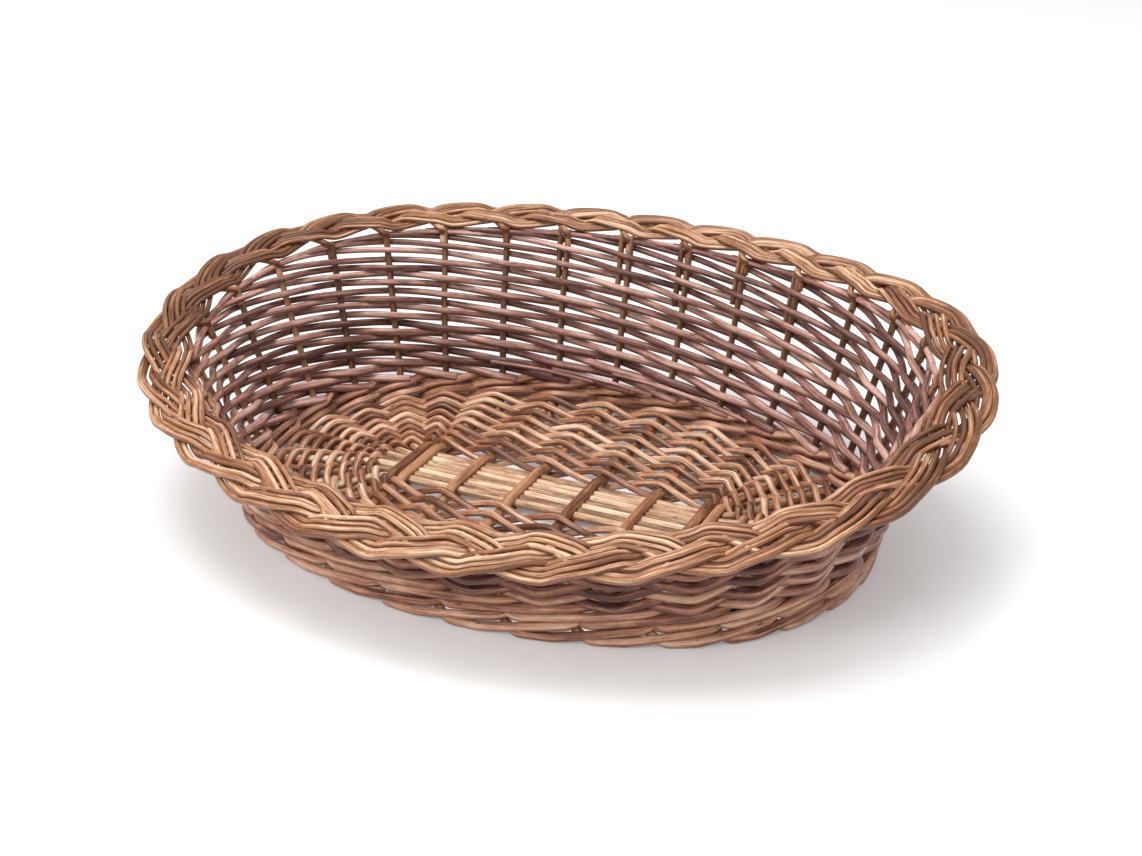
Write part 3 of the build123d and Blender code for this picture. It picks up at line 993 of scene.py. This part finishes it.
# ---- border ---------------------------------------------------------------------------------
@dataclass
class PlaitedBorder:
    """The stakes laid down into a flat plait of three strands, four rods out and three back.

    Each stake joins the strand that leaves the inner edge beside it, on the outer side of its
    older rods, and stays in it for three and a third turns of the plait.
    """

    form: BasketForm
    butt_r: float = 2.7
    middle_r: float = 2.2
    tip_r: float = 1.8
    centre: float = 23.8
    swing: float = 13.4
    edge: float = 25.5
    roll: float = 0.7
    step: float = 48.0
    thick: float = 2.25
    pitch: float = 4.5
    life: tuple[float, float] = (12.45, 13.3)
    points: int = 176
    turns: tuple[tuple[float, float], ...] = ((0.0, 0.0), (1.2, 1.0), (1.5, 0.98), (2.9, 0.0))
    swaps: tuple[float, ...] = (-0.04, 0.66, 1.36, 2.14, 2.96)
    averaged: float = 0.32
    crispness: float = 2.6
    uneven: float = 0.45
    below_strands: float = -3.4
    joins_by: float = 0.62
    below_top: tuple[float, float] = (-16.0, -6.0)
    softened: int = 14
    butt_share: float = 14.0

    def strand(self, t: Array) -> tuple[Array, Array]:
        """The strand that a rod follows at a distance t along the rim from its stake.

        Args:
            t: distance in stakes.

        Returns:
            How far the strand's middle is from the border's inner edge, straight runs between
            the turns averaged over two thirds of the way between stakes, and its height:
            above the others on its way to the middle from either edge and below them on its
            way out again, changing over where the swaps say.
        """
        place, share = np.array(self.turns).T
        window = np.linspace(-self.averaged, self.averaged, 13)
        spots = np.mod(t[..., None] + window, 3.0)
        across = np.interp(spots, np.append(place, 3.0), np.append(share, 0.0)).mean(-1)
        turn = math.pi * np.interp(np.mod(t - self.swaps[0], 3.0) + self.swaps[0],
                                   self.swaps, np.arange(5.0))
        rise = self.thick * np.tanh(self.crispness * np.sin(turn)) / math.tanh(self.crispness)
        return self.centre + self.swing * (2 * across - 1), rise

    def build(self) -> None:
        """Make the rods.

        A rod lies outside its strand's middle by two rods when young and inside it by as much
        when it is cut. At either edge the rods are drawn in, by r over the fourth root of
        1 + r to the fourth, and roll under each other. Where a rod starts it comes up from
        its stake, under the rods along the inner edge.
        """
        border = RodBundle("plaited_border", 12, seed=61)
        rng = np.random.default_rng(62)
        stakes = self.form.stakes
        number = np.arange(stakes)[:, None].astype(float)
        life = rng.uniform(*self.life, (stakes, 1))
        t = np.linspace(0.0, 1.0, self.points)[None] * life
        across, rise = self.strand(t)
        slope = (self.strand(t + 0.02)[0] - self.strand(t - 0.02)[0]) / (0.04 * self.step)
        beside = self.pitch * (2.0 - (t - 0.75) / 3) + self.uneven * smooth_noise(
            rng, stakes, t, 1.1)
        beside = beside / np.sqrt(1 + slope * slope)
        reach = (across + beside - self.centre) / self.edge
        kept = reach / (1 + reach ** 4) ** 0.25
        rise = (rise - self.roll * self.edge * np.abs(reach - kept)
                + self.uneven * smooth_noise(rng, stakes, t, 0.9))
        path = self.form.border(number + t - beside * slope / self.step,
                                self.centre + self.edge * kept, rise)
        rising = self.form.border(number + 0.5 * t, 1.0, self.below_strands)
        path = rising + (path - rising) * smooth_step(t / self.joins_by)[..., None]
        below = np.linspace(*self.below_top, 6)[None]
        foot = self.form.wall(number, self.form.run_at(
            number, self.form.wall_top(number) + below), 0.0)
        path = np.concatenate([foot, path], 1)
        end = self.softened
        for _ in range(3):
            path[:, 1:end + 1] = (0.25 * path[:, :end] + 0.5 * path[:, 1:end + 1]
                                  + 0.25 * path[:, 2:end + 2])
        share = np.linspace(0, 1, path.shape[1])[None]
        radius = (self.middle_r + (self.tip_r - self.middle_r) * share
                  + (self.butt_r - self.middle_r) * np.exp(-share * self.butt_share))
        radius = radius * rng.uniform(0.92, 1.06, (stakes, 1))
        border.add(path, radius, UP)
        dress(border.build(), Part.BORDER, "border_strand_inner", "border_strand_middle",
              "border_strand_outer")


# ---- studio ---------------------------------------------------------------------------------
@dataclass(frozen=True)
class Lamp:
    """A square area light: where it hangs and its side in metres, and its power in watts."""

    name: str
    place: tuple[float, float, float]
    size: float
    power: float


@dataclass
class Studio:
    """A pale floor, an even white world, two soft lights and the camera."""

    reach: float = 30.0
    gap: float = 0.0005
    glow: float = 0.16
    world: float = 0.62
    lamps: tuple[Lamp, ...] = (Lamp("overhead", (-0.2, -0.2, 2.4), 1.3, 34.0),
                               Lamp("front", (-0.5, -2.3, 2.0), 1.0, 24.0))
    aim_z: float = 0.05
    azimuth: float = 25.42
    elevation: float = 25.99
    distance: float = 1.285
    target_z: float = 0.0532
    lens: float = 56.7
    shift: tuple[float, float] = (0.0158, 0.0116)

    def build(self) -> None:
        """Make the floor, the world, the lights and the camera."""
        mesh = bpy.data.meshes.new("floor")
        corners = [(x * self.reach, y * self.reach, -self.gap)
                   for x, y in ((-1, -1), (1, -1), (1, 1), (-1, 1))]
        mesh.from_pydata(corners, [], [(0, 1, 2, 3)])
        floor = bpy.data.objects.new("floor", mesh)
        link(floor)
        tree = ShaderTree("pale_floor")
        place = tree.node("ShaderNodeTexCoord", {}, output="Object")
        tint = tree.mix(tree.noise(place, 3.0), (0.93, 0.93, 0.93), (0.95, 0.95, 0.947))
        shader = tree.node("ShaderNodeBsdfPrincipled", {}, {
            "Base Color": tint, "Roughness": 0.9, "Emission Color": (1.0, 1.0, 1.0),
            "Emission Strength": self.glow})
        tree.node("ShaderNodeOutputMaterial", {}, {"Surface": shader})
        mesh.materials.append(tree.material)
        world = bpy.data.worlds.new("studio")
        world.use_nodes = True
        background = world.node_tree.nodes["Background"].inputs
        background["Color"].default_value = (1, 1, 1, 1)
        background["Strength"].default_value = self.world
        bpy.context.scene.world = world
        bpy.context.scene.view_settings.view_transform = "Standard"
        for lamp in self.lamps:
            self.light(lamp)
        self.camera()

    def light(self, lamp: Lamp) -> None:
        """Hang a lamp, turned to the basket.

        Args:
            lamp: which one.
        """
        data = bpy.data.lights.new(lamp.name, "AREA")
        data.size = lamp.size
        data.energy = lamp.power
        hung = bpy.data.objects.new(lamp.name, data)
        hung.location = lamp.place
        hung.rotation_mode = "QUATERNION"
        toward = Vector((0.0, 0.0, self.aim_z)) - hung.location
        hung.rotation_quaternion = toward.to_track_quat("-Z", "Y")
        link(hung)

    def camera(self) -> None:
        """The camera, turned about the basket by its azimuth and elevation."""
        az, el = math.radians(self.azimuth), math.radians(self.elevation)
        level = math.cos(el)
        back = Vector((math.sin(az) * level, -math.cos(az) * level, math.sin(el)))
        data = bpy.data.cameras.new("camera")
        data.lens = self.lens
        data.sensor_width = 36.0
        data.shift_x, data.shift_y = self.shift
        camera = bpy.data.objects.new("camera", data)
        camera.location = Vector((0, 0, self.target_z)) + back * self.distance
        camera.rotation_mode = "QUATERNION"
        camera.rotation_quaternion = (-back).to_track_quat("-Z", "Y")
        link(camera)
        bpy.context.scene.camera = camera


def main() -> None:
    """Build the basket from the base up, then the studio."""
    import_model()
    form = BasketForm()
    sticks = StickBase(form)
    sticks.build()
    PairedFloor(form, sticks).build()
    Stakes(form).build()
    FootWale(form).build()
    RandedSide(form).build()
    PlaitedBorder(form).build()
    Studio().build()


if __name__ == "__main__":
    logging.basicConfig(level=logging.INFO)
    main()
